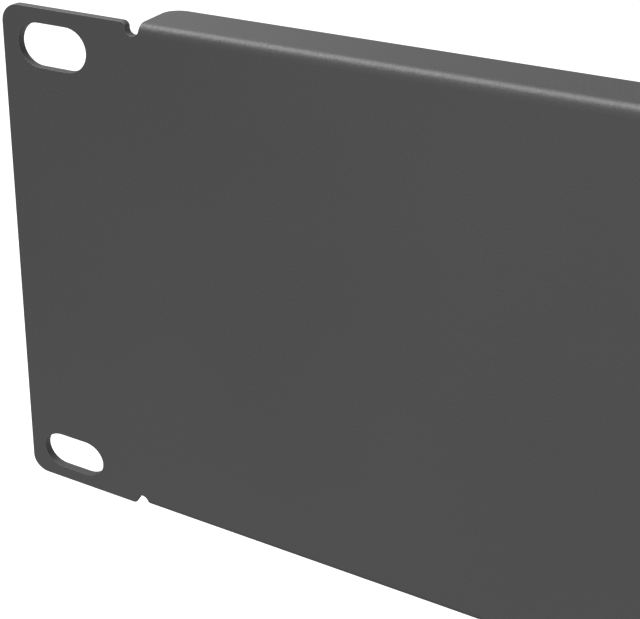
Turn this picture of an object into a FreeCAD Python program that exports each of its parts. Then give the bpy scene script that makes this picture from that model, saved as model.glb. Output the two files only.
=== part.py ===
"""Rack blanking panel, 19-inch, two units high: one piece of sheet steel, folded and powder coated.

The flat front carries an ear with two slots at each end. Between the ears the sheet folds back
along its top and bottom edge into a narrow stiffening flange. A small U-shaped relief beside each
flange end lets the fold run without tearing the ear.

Frame: millimetres, upright as mounted. X runs along the panel, the front face looks towards -Y
and +Z is up. The origin is the centre of the slot pattern, in the plane where the ears seat
against the rack posts.
"""
import FreeCAD, Part
import math
import os
import Sketcher

NODE = "blanking_panel"

# The sheet is 1.2 mm steel with 0.08 mm of coat on each face, and is drawn as coated.
DIMENSIONS = [
    ("overall_length", 483.0, "panel width over both ears"),
    ("panel_height", 88.1, "two rack units, less the gap to the next panel"),
    ("sheet_thickness", 1.36, "coated sheet"),
    ("bend_radius", 0.34, "inside radius of both folds"),
    ("flange_depth", 10.0, "front face to the rear edge of a flange"),
    ("flange_corner_radius", 3.0, "rear corners of a flange"),
    ("ear_width", 24.0, "panel end to the near end of a flange"),
    ("ear_corner_radius", 3.0, "outer corners of an ear"),
    ("slot_inset_end", 8.95, "panel end to slot centre: 465.1 between the ears' slots"),
    ("slot_inset_edge", 5.95, "top or bottom edge to slot centre: 76.2 between an ear's slots"),
    ("slot_length", 12.0, "over the round ends"),
    ("slot_width", 7.1, "clears an M6 rack screw"),
    ("relief_width", 2.0, "gap between an ear and a flange end"),
    ("relief_overcut", 0.3, "how far a relief runs past the fold"),
    ("relief_mouth_radius", 0.9, "corner of an ear beside a relief"),
]

# Places and lengths that several features share, as formulas on the sheet's cells.
END = "dims.overall_length / 2"
TOP = "dims.panel_height / 2"
ABOVE_TOP = f"({TOP} + dims.relief_width)"
FOLD_LINE = f"({TOP} - dims.sheet_thickness - dims.bend_radius)"
FLANGE_END = f"({END} - dims.ear_width)"
FOLD_END = f"({FLANGE_END} + dims.relief_width / 2)"
RELIEF_SHOULDER = f"({FOLD_LINE} - dims.relief_overcut + dims.relief_width / 2)"
SLOT_PITCH_ACROSS = "(dims.overall_length - 2 * dims.slot_inset_end)"
SLOT_PITCH_UPRIGHT = "(dims.panel_height - 2 * dims.slot_inset_edge)"


def fill_sheet(doc):
    """One row for each driving dimension: its name, its value and what it measures."""
    sheet = doc.addObject("Spreadsheet::Sheet", "dims")
    for row, (name, value, meaning) in enumerate(DIMENSIONS, start=1):
        sheet.set(f"A{row}", name)
        sheet.set(f"B{row}", str(value))
        sheet.setAlias(f"B{row}", name)
        sheet.set(f"C{row}", meaning)
    doc.recompute()
    return sheet


# ---- drawing -------------------------------------------------------------------------------


def origin_feature(body, role):
    return next(item for item in body.Origin.OriginFeatures if item.Role == role)


def new_sketch(body, name, plane):
    sketch = body.newObject("Sketcher::SketchObject", name)
    sketch.AttachmentSupport = (origin_feature(body, plane), [""])
    sketch.MapMode = "FlatFace"
    return sketch


def start(curve):
    return curve, 1


def finish(curve):
    return curve, 2


def centre(curve):
    return curve, 3


ORIGIN = start(-1)


def at(sketch, across, up):
    """The point of a sketch that two formulas give."""
    return FreeCAD.Vector(sketch.evalExpression(across), sketch.evalExpression(up), 0)


def line(sketch, here, there):
    """A straight line between two points, each a pair of formulas."""
    return sketch.addGeometry(Part.LineSegment(at(sketch, *here), at(sketch, *there)))


def arc(sketch, middle, radius, first_angle, last_angle):
    """An arc drawn anticlockwise between two angles in degrees, its size and place as formulas."""
    circle = Part.Circle(at(sketch, *middle), FreeCAD.Vector(0, 0, 1), sketch.evalExpression(radius))
    angles = math.radians(first_angle), math.radians(last_angle)
    return sketch.addGeometry(Part.ArcOfCircle(circle, *angles))


def relate(sketch, kind, *elements):
    sketch.addConstraint(Sketcher.Constraint(kind, *elements))


def as_drawn(sketch, kind, elements):
    """What a dimension measures before it is tied to the sheet."""
    if kind == "Radius":
        return sketch.Geometry[elements[0]].Radius
    here, there = sketch.getPoint(*elements[:2]), sketch.getPoint(*elements[2:])
    return there.x - here.x if kind == "DistanceX" else there.y - here.y


def bind(sketch, kind, *elements, to):
    """Adds a dimension to the sketch and ties it to the sheet by a formula."""
    drawn = as_drawn(sketch, kind, elements)
    index = sketch.addConstraint(Sketcher.Constraint(kind, *elements, drawn))
    sketch.setExpression(f"Constraints[{index}]", to)


def rectangle(sketch, left, right, bottom, top):
    """Four squared lines, from the bottom one anticlockwise."""
    corners = [(left, bottom), (right, bottom), (right, top), (left, top)]
    sides = [line(sketch, corner, after) for corner, after in zip(corners, corners[1:] + corners[:1])]
    for side, after in zip(sides, sides[1:] + sides[:1]):
        relate(sketch, "Coincident", *finish(side), *start(after))
    for side, direction in zip(sides, ("Horizontal", "Vertical", "Horizontal", "Vertical")):
        relate(sketch, direction, side)
    return sides


# ---- the flat front ------------------------------------------------------------------------


def add_front(body):
    """The flat front with both ears, as one plate about the origin."""
    sketch = new_sketch(body, "front_outline", "XZ_Plane")
    bottom, right, top, left = rectangle(sketch, f"-{END}", END, f"-{TOP}", TOP)
    relate(sketch, "Symmetric", *start(bottom), *start(top), *ORIGIN)
    bind(sketch, "DistanceX", *start(bottom), *finish(bottom), to="dims.overall_length")
    bind(sketch, "DistanceY", *start(right), *finish(right), to="dims.panel_height")
    front = body.newObject("PartDesign::Pad", "front")
    front.Profile = sketch
    front.setExpression("Length", "dims.sheet_thickness")


def cut_through(body, name, sketch):
    """Cuts a sketch on the seating plane through the sheet, forwards and backwards."""
    pocket = body.newObject("PartDesign::Pocket", name)
    pocket.Profile = sketch
    pocket.Type = "ThroughAll"
    pocket.SideType = "Symmetric"
    return pocket


# ---- the folded edges ----------------------------------------------------------------------


def cut_fold_strip(body):
    """The strip beyond the upper fold line, from relief to relief, where the sheet folds back."""
    sketch = new_sketch(body, "fold_strip_outline", "XZ_Plane")
    bottom, right, top, left = rectangle(sketch, f"-{FOLD_END}", FOLD_END, FOLD_LINE, ABOVE_TOP)
    bind(sketch, "DistanceX", *start(bottom), *ORIGIN, to=FOLD_END)
    bind(sketch, "DistanceX", *ORIGIN, *finish(bottom), to=FOLD_END)
    bind(sketch, "DistanceY", *ORIGIN, *start(bottom), to=FOLD_LINE)
    bind(sketch, "DistanceY", *ORIGIN, *start(top), to=ABOVE_TOP)
    return cut_through(body, "fold_strip", sketch)


def add_upper_flange(body):
    """The fold and the flange behind it, drawn from the side and as long as the strip."""
    sketch = new_sketch(body, "flange_section", "YZ_Plane")
    front_face = "-dims.sheet_thickness"
    rear_edge = "dims.flange_depth - dims.sheet_thickness"
    underside = f"{TOP} - dims.sheet_thickness"
    outer_radius = "dims.bend_radius + dims.sheet_thickness"
    fold = line(sketch, ("0", FOLD_LINE), (front_face, FOLD_LINE))
    outer_bend = arc(sketch, ("dims.bend_radius", FOLD_LINE), outer_radius, 90, 180)
    top = line(sketch, ("dims.bend_radius", TOP), (rear_edge, TOP))
    rear = line(sketch, (rear_edge, TOP), (rear_edge, underside))
    under = line(sketch, (rear_edge, underside), ("dims.bend_radius", underside))
    inner_bend = arc(sketch, ("dims.bend_radius", FOLD_LINE), "dims.bend_radius", 90, 180)
    relate(sketch, "Coincident", *finish(fold), *finish(outer_bend))
    relate(sketch, "Tangent", *start(outer_bend), *start(top))
    relate(sketch, "Coincident", *finish(top), *start(rear))
    relate(sketch, "Coincident", *finish(rear), *start(under))
    relate(sketch, "Tangent", *finish(under), *start(inner_bend))
    relate(sketch, "Coincident", *finish(inner_bend), *start(fold))
    relate(sketch, "Coincident", *centre(outer_bend), *centre(inner_bend))
    relate(sketch, "Horizontal", fold)
    relate(sketch, "Horizontal", *centre(outer_bend), *start(fold))
    relate(sketch, "Horizontal", top)
    relate(sketch, "Horizontal", under)
    relate(sketch, "Vertical", rear)
    relate(sketch, "PointOnObject", *start(fold), -2)  # the sketch's upright axis
    bind(sketch, "Radius", inner_bend, to="dims.bend_radius")
    bind(sketch, "Radius", outer_bend, to=outer_radius)
    bind(sketch, "DistanceX", *finish(fold), *start(rear), to="dims.flange_depth")
    bind(sketch, "DistanceY", *ORIGIN, *start(top), to=TOP)
    flange = body.newObject("PartDesign::Pad", "upper_flange")
    flange.Profile = sketch
    flange.SideType = "Symmetric"
    flange.setExpression("Length", f"2 * {FOLD_END}")
    return flange


def fold_edges(body):
    """Folds the top edge back into a flange, and mirrors the fold to the bottom edge."""
    upper_fold = [cut_fold_strip(body), add_upper_flange(body)]
    lower_fold = body.newObject("PartDesign::Mirrored", "lower_fold")
    lower_fold.Originals = upper_fold
    lower_fold.MirrorPlane = (origin_feature(body, "XY_Plane"), [""])
    body.Tip = lower_fold


# ---- reliefs and slots ---------------------------------------------------------------------


def cut_relief(body):
    """The relief in the upper left corner: a U, open at the top, whose inner side ends the flange."""
    sketch = new_sketch(body, "relief_outline", "XZ_Plane")
    ear_side = f"-{FLANGE_END} - dims.relief_width"
    flange_side = f"-{FLANGE_END}"
    radius = "dims.relief_width / 2"
    outer = line(sketch, (ear_side, ABOVE_TOP), (ear_side, RELIEF_SHOULDER))
    floor = arc(sketch, (f"-{FOLD_END}", RELIEF_SHOULDER), radius, 180, 360)
    inner = line(sketch, (flange_side, RELIEF_SHOULDER), (flange_side, ABOVE_TOP))
    mouth = line(sketch, (flange_side, ABOVE_TOP), (ear_side, ABOVE_TOP))
    relate(sketch, "Tangent", *finish(outer), *start(floor))
    relate(sketch, "Tangent", *finish(floor), *start(inner))
    relate(sketch, "Coincident", *finish(inner), *start(mouth))
    relate(sketch, "Coincident", *finish(mouth), *start(outer))
    relate(sketch, "Vertical", outer)
    relate(sketch, "Vertical", inner)
    relate(sketch, "Horizontal", mouth)
    bind(sketch, "Radius", floor, to=radius)
    bind(sketch, "DistanceX", *start(inner), *ORIGIN, to=FLANGE_END)
    bind(sketch, "DistanceY", *ORIGIN, *centre(floor), to=RELIEF_SHOULDER)
    bind(sketch, "DistanceY", *ORIGIN, *start(mouth), to=ABOVE_TOP)
    return cut_through(body, "relief", sketch)


def cut_reliefs(body):
    """The upper left relief, mirrored to the panel's other three corners."""
    relief = cut_relief(body)
    reliefs = body.newObject("PartDesign::MultiTransform", "reliefs")
    mirrors = []
    for name, plane in (("upper_to_lower", "XY_Plane"), ("left_to_right", "YZ_Plane")):
        mirror = body.newObject("PartDesign::Mirrored", name)
        mirror.MirrorPlane = (origin_feature(body, plane), [""])
        mirrors.append(mirror)
    reliefs.Originals = [relief]
    reliefs.Transformations = mirrors
    body.Tip = reliefs


def cut_slots(body):
    """The lower slot of the left ear, and the pattern that repeats it up the ear and across."""
    sketch = new_sketch(body, "slot_outline", "XZ_Plane")
    radius = "dims.slot_width / 2"
    straight = "(dims.slot_length - dims.slot_width)"
    outer_centre = f"-({SLOT_PITCH_ACROSS} + {straight}) / 2"
    inner_centre = f"-({SLOT_PITCH_ACROSS} - {straight}) / 2"
    height = f"-{SLOT_PITCH_UPRIGHT} / 2"
    lower = line(sketch, (outer_centre, f"{height} - {radius}"), (inner_centre, f"{height} - {radius}"))
    right = arc(sketch, (inner_centre, height), radius, -90, 90)
    upper = line(sketch, (inner_centre, f"{height} + {radius}"), (outer_centre, f"{height} + {radius}"))
    left = arc(sketch, (outer_centre, height), radius, 90, 270)
    for edge, after in ((lower, right), (right, upper), (upper, left), (left, lower)):
        relate(sketch, "Tangent", *finish(edge), *start(after))
    relate(sketch, "Horizontal", lower)
    relate(sketch, "Horizontal", upper)
    bind(sketch, "Radius", right, to=radius)
    bind(sketch, "DistanceX", *centre(left), *centre(right), to=straight)
    bind(sketch, "DistanceX", *ORIGIN, *centre(left), to=outer_centre)
    bind(sketch, "DistanceY", *ORIGIN, *centre(left), to=height)
    slot = cut_through(body, "slot", sketch)

    slots = body.newObject("PartDesign::LinearPattern", "slots")
    slots.Originals = [slot]
    slots.Direction = (origin_feature(body, "X_Axis"), [""])
    slots.Occurrences = 2
    slots.setExpression("Length", SLOT_PITCH_ACROSS)
    slots.Direction2 = (origin_feature(body, "Z_Axis"), [""])
    slots.Occurrences2 = 2
    slots.setExpression("Length2", SLOT_PITCH_UPRIGHT)
    body.Tip = slots


# ---- rounded corners -----------------------------------------------------------------------


def edges_at(shape, **distances):
    """Names of the edges whose middle lies this far from the origin along each axis named."""

    def lies_there(edge):
        middle = edge.CenterOfMass
        return all(
            math.isclose(abs(getattr(middle, axis)), distance, abs_tol=1e-6)
            for axis, distance in distances.items()
        )

    return [f"Edge{number}" for number, edge in enumerate(shape.Edges, start=1) if lies_there(edge)]


def round_off(doc, body, name, edges, radius):
    finished_so_far = body.Tip
    rounding = body.newObject("PartDesign::Fillet", name)
    rounding.Base = (finished_so_far, edges)
    rounding.setExpression("Radius", radius)
    body.Tip = rounding
    doc.recompute()


def make_panel(doc, sheet):
    body = doc.addObject("PartDesign::Body", NODE)
    add_front(body)
    fold_edges(body)
    cut_reliefs(body)
    cut_slots(body)
    doc.recompute()

    end = sheet.overall_length / 2
    top = sheet.panel_height / 2
    flange_end = end - sheet.ear_width
    ear_side = flange_end + sheet.relief_width
    rear_edge = sheet.flange_depth - sheet.sheet_thickness
    ear_corners = edges_at(body.Shape, x=end, z=top)
    round_off(doc, body, "ear_corners", ear_corners, "dims.ear_corner_radius")
    relief_mouths = edges_at(body.Shape, x=ear_side, z=top)
    # The corner leaves a little of the straight wall between it and the relief's round floor.
    straight_wall = f"({TOP} - {RELIEF_SHOULDER})"
    mouth_radius = f"min(dims.relief_mouth_radius; 0.95 * {straight_wall})"
    round_off(doc, body, "relief_mouths", relief_mouths, mouth_radius)
    flange_corners = edges_at(body.Shape, x=flange_end, y=rear_edge)
    round_off(doc, body, "flange_corners", flange_corners, "dims.flange_corner_radius")
    return body


def check(doc, body):
    """Stops before anything is written if a feature failed or the panel isn't one sound solid."""
    failed = [item.Name for item in doc.Objects if {"Invalid", "Error"} & set(item.State)]
    if failed:
        raise RuntimeError(f"failed features: {failed}")
    if body.Shape.isNull() or not body.Shape.isValid() or len(body.Shape.Solids) != 1:
        raise RuntimeError(f"{body.Label} is not one valid solid")


def main():
    doc = FreeCAD.newDocument("rack_blanking_panel")
    sheet = fill_sheet(doc)
    panel = make_panel(doc, sheet)
    check(doc, panel)
    os.makedirs("parts", exist_ok=True)
    panel.Shape.exportStep(f"parts/{panel.Label}.step")


main()
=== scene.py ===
import math

import bmesh
import bpy
from mathutils import Matrix, Vector


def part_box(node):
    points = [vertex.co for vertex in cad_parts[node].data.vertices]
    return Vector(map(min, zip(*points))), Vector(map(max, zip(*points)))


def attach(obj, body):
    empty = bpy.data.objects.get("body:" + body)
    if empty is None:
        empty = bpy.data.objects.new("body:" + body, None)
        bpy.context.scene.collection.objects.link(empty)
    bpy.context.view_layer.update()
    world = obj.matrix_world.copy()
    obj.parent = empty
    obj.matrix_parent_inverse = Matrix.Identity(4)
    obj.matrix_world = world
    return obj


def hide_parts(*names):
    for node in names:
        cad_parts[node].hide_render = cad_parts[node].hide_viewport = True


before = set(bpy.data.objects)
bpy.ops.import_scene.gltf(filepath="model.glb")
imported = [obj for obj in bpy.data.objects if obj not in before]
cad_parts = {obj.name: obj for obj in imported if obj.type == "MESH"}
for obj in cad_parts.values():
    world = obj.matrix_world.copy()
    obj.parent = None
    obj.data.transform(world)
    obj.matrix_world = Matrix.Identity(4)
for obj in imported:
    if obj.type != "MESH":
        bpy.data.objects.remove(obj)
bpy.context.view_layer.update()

# ---- Powder coat ---------------------------------------------------------------------------
# The whole panel is sprayed with one dark grey polyester powder and baked at about 190 degrees.
# It melts into an even satin skin with a fine grain, and a faint slow ripple under the grain.
coat_grey = (0.0235, 0.0235, 0.0238, 1)
coat_grey_lighter = (0.0265, 0.0265, 0.0268, 1)
grains_to_the_metre = 2200
ripples_to_the_metre = 160
clouds_to_the_metre = 22
# Nearly all the values of a noise lie between these two.
noise_low = 0.3
noise_high = 0.7


def shader_node(tree, kind, place, **settings):
    made = tree.nodes.new(kind)
    made.location = place
    for name, value in settings.items():
        setattr(made, name, value)
    return made


powder_coat = bpy.data.materials.new("powder_coat")
powder_coat.use_nodes = True
coat = powder_coat.node_tree
coat.nodes.clear()
surface = shader_node(coat, "ShaderNodeBsdfPrincipled", (400, 0))
output = shader_node(coat, "ShaderNodeOutputMaterial", (700, 0))
coat.links.new(surface.outputs["BSDF"], output.inputs["Surface"])
surface.inputs["IOR"].default_value = 1.5
surface.inputs["Specular IOR Level"].default_value = 0.5

on_the_panel = shader_node(coat, "ShaderNodeTexCoord", (-900, 0))
grain = shader_node(coat, "ShaderNodeTexNoise", (-600, -300))
grain.inputs["Scale"].default_value = grains_to_the_metre
grain.inputs["Detail"].default_value = 3
grain.inputs["Roughness"].default_value = 0.6
ripple = shader_node(coat, "ShaderNodeTexNoise", (-600, -600))
ripple.inputs["Scale"].default_value = ripples_to_the_metre
ripple.inputs["Detail"].default_value = 1
cloud = shader_node(coat, "ShaderNodeTexNoise", (-600, 300))
cloud.inputs["Scale"].default_value = clouds_to_the_metre
cloud.inputs["Detail"].default_value = 4
for texture in (grain, ripple, cloud):
    coat.links.new(on_the_panel.outputs["Object"], texture.inputs["Vector"])

# The clouds and the grain vary the tone a little.
tone = shader_node(coat, "ShaderNodeValToRGB", (-300, 500))
tone.color_ramp.elements[0].position = noise_low
tone.color_ramp.elements[0].color = coat_grey
tone.color_ramp.elements[1].position = noise_high
tone.color_ramp.elements[1].color = coat_grey_lighter
coat.links.new(cloud.outputs["Fac"], tone.inputs["Fac"])

speckle = shader_node(coat, "ShaderNodeMapRange", (-300, 250))
speckle.inputs["From Min"].default_value = noise_low
speckle.inputs["From Max"].default_value = noise_high
speckle.inputs["To Min"].default_value = 0.95
speckle.inputs["To Max"].default_value = 1.05
coat.links.new(grain.outputs["Fac"], speckle.inputs["Value"])
colour = shader_node(coat, "ShaderNodeMix", (0, 400), data_type="RGBA", blend_type="MULTIPLY")
colour.inputs["Factor"].default_value = 1
coat.links.new(tone.outputs["Color"], colour.inputs["A"])
coat.links.new(speckle.outputs["Result"], colour.inputs["B"])
coat.links.new(colour.outputs["Result"], surface.inputs["Base Color"])

sheen = shader_node(coat, "ShaderNodeMapRange", (-300, 0))
sheen.inputs["From Min"].default_value = noise_low
sheen.inputs["From Max"].default_value = noise_high
sheen.inputs["To Min"].default_value = 0.40
sheen.inputs["To Max"].default_value = 0.50
coat.links.new(grain.outputs["Fac"], sheen.inputs["Value"])
coat.links.new(sheen.outputs["Result"], surface.inputs["Roughness"])

rippled = shader_node(coat, "ShaderNodeBump", (-100, -600))
rippled.inputs["Strength"].default_value = 0.12
rippled.inputs["Distance"].default_value = 0.0002
coat.links.new(ripple.outputs["Fac"], rippled.inputs["Height"])
grained = shader_node(coat, "ShaderNodeBump", (150, -400))
grained.inputs["Strength"].default_value = 0.5
grained.inputs["Distance"].default_value = 0.00008
coat.links.new(grain.outputs["Fac"], grained.inputs["Height"])
coat.links.new(rippled.outputs["Normal"], grained.inputs["Normal"])
coat.links.new(grained.outputs["Normal"], surface.inputs["Normal"])

# ---- Blanking panel ------------------------------------------------------------------------
# One blank of 1.2 mm sheet steel, drawn as coated. It is punched flat, with an obround slot in
# each corner of its ears and a U relief beside each flange end, and then a press brake folds
# the long edges back into the two stiffening flanges.
low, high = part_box("blanking_panel")
sheet = 0.00136
inside_radius = 0.00034
outside_radius = sheet + inside_radius
ear_width = 0.024
ear_corner = 0.003
slot_inset = Vector((0.00895, 0, 0.00595))
slot_length = 0.012
slot_width = 0.0071
relief_width = 0.002
relief_overcut = 0.0003
relief_mouth = 0.0009
flange_corner = 0.003
coat_rounding = 0.00015
corner_steps = 10
fold_steps = 12
even_strip = 0.0005
same_point = 1e-6

front = low.y
back = low.y + sheet
end = high.x
top = high.z
fold_line = top - outside_radius
fold_end = fold_line + outside_radius * math.pi / 2
flange_end = end - ear_width
flange_tip = fold_end + high.y - back - inside_radius
relief_floor = fold_line - relief_overcut
ear_side = flange_end + relief_width
slot_centre = Vector((end, 0, top)) - slot_inset
slot_inner = slot_centre.x - slot_length / 2
slot_outer = slot_centre.x + slot_length / 2
slot_top = slot_centre.z + slot_width / 2
slot_bottom = slot_centre.z - slot_width / 2


def punch_face(blank, corners):
    """A flat face through the corners (x, z, radius), each rounded to its radius."""
    points = [blank.verts.new((x, front, z)) for x, z, radius in corners]
    blank.faces.new(points)
    for point, (x, z, radius) in zip(points, corners):
        if radius:
            bmesh.ops.bevel(
                blank,
                geom=[point],
                offset=radius,
                offset_type="OFFSET",
                segments=corner_steps,
                profile=0.5,
                affect="VERTICES",
                clamp_overlap=False,
                material=-1,
            )


# A quarter of the blank is drawn in two faces that meet on the slot's centre line.
blank = bmesh.new()
punch_face(
    blank,
    [
        (0, slot_centre.z, 0),
        (slot_inner, slot_centre.z, 0),
        (slot_inner, slot_top, slot_width / 2),
        (slot_outer, slot_top, slot_width / 2),
        (slot_outer, slot_centre.z, 0),
        (end, slot_centre.z, 0),
        (end, top, ear_corner),
        (ear_side, top, relief_mouth),
        (ear_side, relief_floor, relief_width / 2),
        (flange_end, relief_floor, relief_width / 2),
        (flange_end, flange_tip, flange_corner),
        (0, flange_tip, 0),
    ],
)
punch_face(
    blank,
    [
        (0, 0, 0),
        (end, 0, 0),
        (end, slot_centre.z, 0),
        (slot_outer, slot_centre.z, 0),
        (slot_outer, slot_bottom, slot_width / 2),
        (slot_inner, slot_bottom, slot_width / 2),
        (slot_inner, slot_centre.z, 0),
        (0, slot_centre.z, 0),
    ],
)
bmesh.ops.remove_doubles(blank, verts=blank.verts[:], dist=same_point)
for axis in ("X", "Z"):
    bmesh.ops.mirror(
        blank,
        geom=blank.verts[:] + blank.edges[:] + blank.faces[:],
        axis=axis,
        merge_dist=same_point,
    )


def score(blank, point, normal):
    """A line across the whole blank, where the plane through the point cuts it."""
    bmesh.ops.bisect_plane(
        blank,
        geom=blank.verts[:] + blank.edges[:] + blank.faces[:],
        dist=same_point / 10,
        plane_co=point,
        plane_no=normal,
    )


# Lines across each fold let it bend smoothly, and one near each flange end keeps them even.
for side in (1, -1):
    for step in range(fold_steps + 1):
        height = fold_line + (fold_end - fold_line) * step / fold_steps
        score(blank, (0, 0, side * height), (0, 0, 1))
    score(blank, (side * (flange_end - even_strip), 0, 0), (1, 0, 0))

thickened = bmesh.ops.extrude_face_region(blank, geom=blank.faces[:])["geom"]
back_points = [item for item in thickened if isinstance(item, bmesh.types.BMVert)]
bmesh.ops.translate(blank, verts=back_points, vec=(0, sheet, 0))

# The press brake turns each long edge a quarter round about the fold's own axis. The reliefs
# part it from the ears, which stay flat.
fold_axis = back + inside_radius
relief_centre = flange_end + relief_width / 2
for side in (1, -1):
    for point in blank.verts:
        if abs(point.co.x) > relief_centre or point.co.z * side <= fold_line:
            continue
        past = point.co.z * side - fold_line
        turned = min(past / (fold_end - fold_line), 1) * math.pi / 2
        radius = fold_axis - point.co.y
        straight = max(past - (fold_end - fold_line), 0)
        point.co.y = fold_axis - radius * math.cos(turned) + straight
        point.co.z = side * (fold_line + radius * math.sin(turned))
bmesh.ops.recalc_face_normals(blank, faces=blank.faces[:])
for face in blank.faces:
    face.smooth = True

panel_mesh = bpy.data.meshes.new("folded_panel")
blank.to_mesh(panel_mesh)
blank.free()
panel = bpy.data.objects.new("folded_panel", panel_mesh)
bpy.context.scene.collection.objects.link(panel)
panel_mesh.materials.append(powder_coat)

# The melted powder draws back from every cut edge and leaves it softly round.
soft_edges = panel.modifiers.new("coat_rounding", "BEVEL")
soft_edges.width = coat_rounding
soft_edges.segments = 4
soft_edges.profile = 0.5
soft_edges.limit_method = "ANGLE"
soft_edges.angle_limit = math.radians(40)
soft_edges.use_clamp_overlap = False
soft_edges.loop_slide = False
flat_shading = panel.modifiers.new("flat_faces_stay_flat", "WEIGHTED_NORMAL")
flat_shading.mode = "FACE_AREA"
flat_shading.weight = 50
flat_shading.keep_sharp = True

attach(panel, "root")
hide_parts("blanking_panel")

# ---- Floor ---------------------------------------------------------------------------------
# A plain pale light table, a hand's breadth below the panel, which hangs by its rack slots. It
# glows evenly. Its light isn't thrown on the panel: the room's own light stands for that too.
floor_height = low.z - 0.08
floor_radius = 12
floor_mesh = bpy.data.meshes.new("studio_floor")
sweep = bmesh.new()
bmesh.ops.create_circle(
    sweep,
    cap_ends=True,
    radius=floor_radius,
    segments=96,
    matrix=Matrix.Translation((0, 0, floor_height)),
)
sweep.to_mesh(floor_mesh)
sweep.free()
floor = bpy.data.objects.new("studio_floor", floor_mesh)
bpy.context.scene.collection.objects.link(floor)
pale = bpy.data.materials.new("studio_pale")
pale.use_nodes = True
pale_surface = pale.node_tree.nodes["Principled BSDF"]
pale_surface.inputs["Base Color"].default_value = (0.15, 0.15, 0.15, 1)
pale_surface.inputs["Roughness"].default_value = 0.9
pale_surface.inputs["Specular IOR Level"].default_value = 0
pale_surface.inputs["Emission Color"].default_value = (1, 1, 1, 1)
pale_surface.inputs["Emission Strength"].default_value = 1
floor_mesh.materials.append(pale)
floor.visible_diffuse = False
floor.visible_glossy = False

# ---- Light ---------------------------------------------------------------------------------
# A wide softbox hangs over the panel's left half. The room round it is a few soft glows, the
# strongest behind the camera and on the ceiling, and shows as plain white beyond the floor.
room = bpy.data.worlds.new("studio_room")
room.use_nodes = True
air = room.node_tree
air.nodes.clear()
looking = shader_node(air, "ShaderNodeTexCoord", (-900, 0))
axes = shader_node(air, "ShaderNodeSeparateXYZ", (-700, 0))
air.links.new(looking.outputs["Generated"], axes.inputs["Vector"])
# Each glow has a strength, and fades in along each axis from the first place to the second.
glows = [
    # The open side, behind the camera.
    (1.32, ("Y", -0.5, -1)),
    # The ceiling.
    (0.97, ("Z", 0.2, 1)),
    # The ground in front, and more of it close by.
    (0.33, ("Y", 0.3, -0.3), ("Z", 0.08, -0.04)),
    (0.25, ("Y", 0.3, -0.3), ("Z", -0.4, -0.7)),
    # The ground behind.
    (0.8, ("Y", 0.3, 0.9), ("Z", 0.05, -0.2)),
    # A wide window behind on the left.
    (0.57, ("Y", -0.3, 0.3), ("X", -0.2, -0.6), ("Z", -0.04, 0.08)),
]
# A little light comes from everywhere, and the glows are added to it.
total = shader_node(air, "ShaderNodeValue", (-500, 200))
total.outputs["Value"].default_value = 0.14
room_light = shader_node(air, "ShaderNodeBackground", (-250, 0))
for strength, *fades in glows:
    glow = None
    for axis, begins, full in fades:
        fade = shader_node(air, "ShaderNodeMapRange", (-500, 0))
        fade.inputs["From Min"].default_value = begins
        fade.inputs["From Max"].default_value = full
        fade.inputs["To Max"].default_value = 1 if glow else strength
        air.links.new(axes.outputs[axis], fade.inputs["Value"])
        if glow is None:
            glow = fade.outputs["Result"]
            continue
        product = shader_node(air, "ShaderNodeMath", (-450, 0), operation="MULTIPLY")
        air.links.new(glow, product.inputs[0])
        air.links.new(fade.outputs["Result"], product.inputs[1])
        glow = product.outputs["Value"]
    added = shader_node(air, "ShaderNodeMath", (-400, 0), operation="ADD")
    air.links.new(total.outputs["Value"], added.inputs[0])
    air.links.new(glow, added.inputs[1])
    total = added
air.links.new(total.outputs["Value"], room_light.inputs["Strength"])
backdrop = shader_node(air, "ShaderNodeBackground", (-250, -200))
for white in (room_light, backdrop):
    white.inputs["Color"].default_value = (1, 1, 1, 1)
seen = shader_node(air, "ShaderNodeLightPath", (-250, 400))
either = shader_node(air, "ShaderNodeMixShader", (0, 0))
air.links.new(seen.outputs["Is Camera Ray"], either.inputs["Fac"])
air.links.new(room_light.outputs["Background"], either.inputs[1])
air.links.new(backdrop.outputs["Background"], either.inputs[2])
world_out = shader_node(air, "ShaderNodeOutputWorld", (250, 0))
air.links.new(either.outputs["Shader"], world_out.inputs["Surface"])
bpy.context.scene.world = room

softbox = bpy.data.lights.new("overhead_softbox", "AREA")
softbox.shape = "RECTANGLE"
softbox.size = 1.7
softbox.size_y = 0.6
softbox.energy = 18.7
softbox_stand = bpy.data.objects.new("overhead_softbox", softbox)
softbox_stand.location = (-0.35, 0, 0.8)
bpy.context.scene.collection.objects.link(softbox_stand)

# ---- Camera --------------------------------------------------------------------------------
# It stands close in front of the panel's left half and above it, and looks down to the left, at
# the ear and the fold. Its lens is shifted, so the panel fills the frame from this close.
camera_data = bpy.data.cameras.new("camera")
camera_data.sensor_width = 36
camera_data.lens = 57.382
camera_data.shift_x = 0.0328
camera_data.shift_y = -0.2836
camera_data.clip_start = 0.01
camera = bpy.data.objects.new("camera", camera_data)
camera.location = (-0.14222, -0.12327, 0.08594)
camera.rotation_euler = (math.radians(68.033), math.radians(-2.168), math.radians(22.978))
bpy.context.scene.collection.objects.link(camera)
bpy.context.scene.camera = camera
bpy.context.scene.view_settings.view_transform = "Standard"
